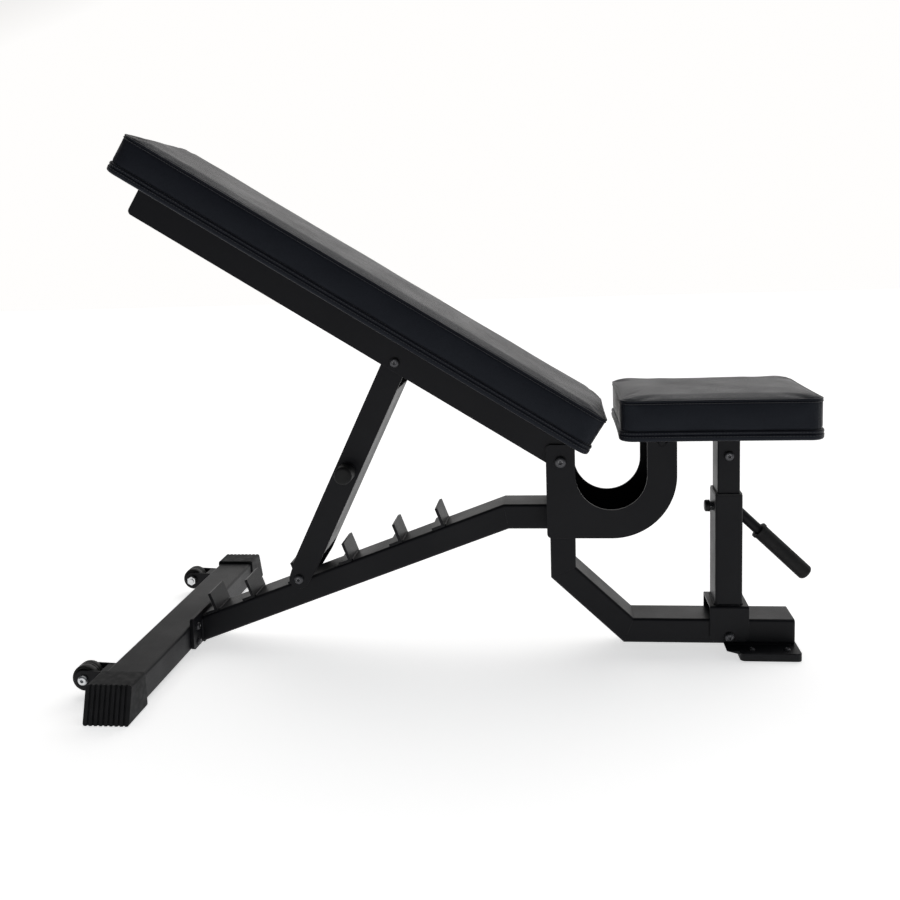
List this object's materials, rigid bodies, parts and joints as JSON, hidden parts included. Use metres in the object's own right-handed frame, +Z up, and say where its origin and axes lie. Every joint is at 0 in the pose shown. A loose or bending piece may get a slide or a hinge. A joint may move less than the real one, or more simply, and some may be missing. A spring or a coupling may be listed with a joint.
{
  "type": "adjustable weight bench",
  "caption": "Adjustable weight bench with a padded hinged backrest on a ladder strut, a tilting padded seat on a telescoping post, rear tilt wheels and rubber feet.",
  "frame": {"origin": "middle of the underside of the front foot's rubber, on the floor", "axes": "+X from the head end to the seat end, +Y to the left, +Z up"},
  "size_m": [1.2513, 0.692, 0.9287],
  "materials": {
    "frame_paint": "satin black powder coat",
    "black_steel": "black oxide fasteners",
    "zinc": "bright zinc plate",
    "foot_rubber": "moulded black rubber",
    "grip_rubber": "smooth black rubber",
    "wheel_plastic": "moulded black plastic",
    "black_plastic": "moulded black plastic",
    "board": "plywood under black backing cloth",
    "upholstery": "black grained vinyl over foam"
  },
  "bodies": {
    "root": {"spine_tube": "frame_paint", "level_tube": "frame_paint", "post_tube": "frame_paint", "diagonal_tube": "frame_paint", "front_tube": "frame_paint", "front_plug": "black_plastic", "ladder_teeth": "frame_paint", "rear_tube": "frame_paint", "end_flange": "frame_paint", "flange_bolts": "black_steel", "rear_cap_left": "foot_rubber", "rear_cap_right": "foot_rubber", "wheel_brackets": "frame_paint", "wheel_axles": "zinc", "foot_rubber": "foot_rubber", "foot_plate": "frame_paint", "foot_screws": "black_steel", "u_plate_left": "frame_paint", "u_plate_right": "frame_paint", "u_outer_strip": "frame_paint", "u_fillers": "frame_paint", "back_pivot_bolt": "black_steel", "base_bolt": "black_steel"},
    "backrest": {"back_rail_left": "frame_paint", "back_rail_right": "frame_paint", "back_pivot_tube": "frame_paint", "back_plate_lower": "frame_paint", "back_plate_middle": "frame_paint", "back_plate_upper": "frame_paint", "back_screws": "black_steel", "back_board": "board", "back_pad": "upholstery", "strut_bolt": "black_steel"},
    "strut": {"strut_plate_left": "frame_paint", "strut_plate_right": "frame_paint", "strut_web": "frame_paint", "foot_pin": "black_steel", "foot_bolt": "black_steel", "grip_tube": "frame_paint", "strut_grip_left": "grip_rubber", "strut_grip_right": "grip_rubber"},
    "seat": {"seat_plate": "frame_paint", "seat_lugs": "frame_paint", "seat_pin": "black_steel", "seat_screws": "black_steel", "seat_board": "board", "seat_pad": "upholstery", "post_lug": "frame_paint"},
    "sleeve": {"saddle": "frame_paint", "post_sleeve": "frame_paint", "post_bush": "black_plastic", "pin_housing": "black_steel", "handle_tube": "frame_paint", "handle_grip": "grip_rubber"},
    "seat_post": {"inner_post": "frame_paint", "post_bolt": "black_steel"},
    "pull_pin": {"pull_pin": "black_plastic"},
    "wheel_left": {"wheel_left": "wheel_plastic"},
    "wheel_right": {"wheel_right": "wheel_plastic"}
  },
  "joints": [
    {"name": "back_hinge", "type": "hinge", "parent": "root", "child": "backrest", "pos_m": [-0.356, 0, 0.354], "axis": [0, 1, 0], "range_deg": [0, 38.1]},
    {"name": "strut_hinge", "type": "hinge", "parent": "backrest", "child": "strut", "pos_m": [-0.63825, 0, 0.53071], "axis": [0, -1, 0], "range_deg": [0, 38.2]},
    {"name": "seat_hinge", "type": "hinge", "parent": "root", "child": "seat", "pos_m": [-0.184, 0, 0.386], "axis": [0, -1, 0], "range_deg": [0, 8]},
    {"name": "sleeve_hinge", "type": "hinge", "parent": "root", "child": "sleeve", "pos_m": [-0.065, 0, 0.029], "axis": [0, 1, 0], "range_deg": [0, 0.821]},
    {"name": "post_slide", "type": "slide", "parent": "sleeve", "child": "seat_post", "axis": [0, 0, 1], "range_m": [0, 0.01697]},
    {"name": "pin_slide", "type": "slide", "parent": "sleeve", "child": "pull_pin", "axis": [-1, 0, 0], "range_m": [0, 0.009], "stiffness_N_per_m": 600, "springref_m": -0.003},
    {"name": "wheel_left_spin", "type": "hinge", "parent": "root", "child": "wheel_left", "pos_m": [-1.147, 0.241, 0.034], "axis": [0, 1, 0], "continuous": true},
    {"name": "wheel_right_spin", "type": "hinge", "parent": "root", "child": "wheel_right", "pos_m": [-1.147, -0.241, 0.034], "axis": [0, 1, 0], "continuous": true}
  ],
  "couplings": [
    {"joint": "strut_hinge", "follows": "back_hinge", "ratio": 1},
    {"joint": "sleeve_hinge", "follows": "seat_hinge", "ratio": 0.0801},
    {"joint": "post_slide", "follows": "seat_hinge", "m_per_rad": 0.1208}
  ]
}
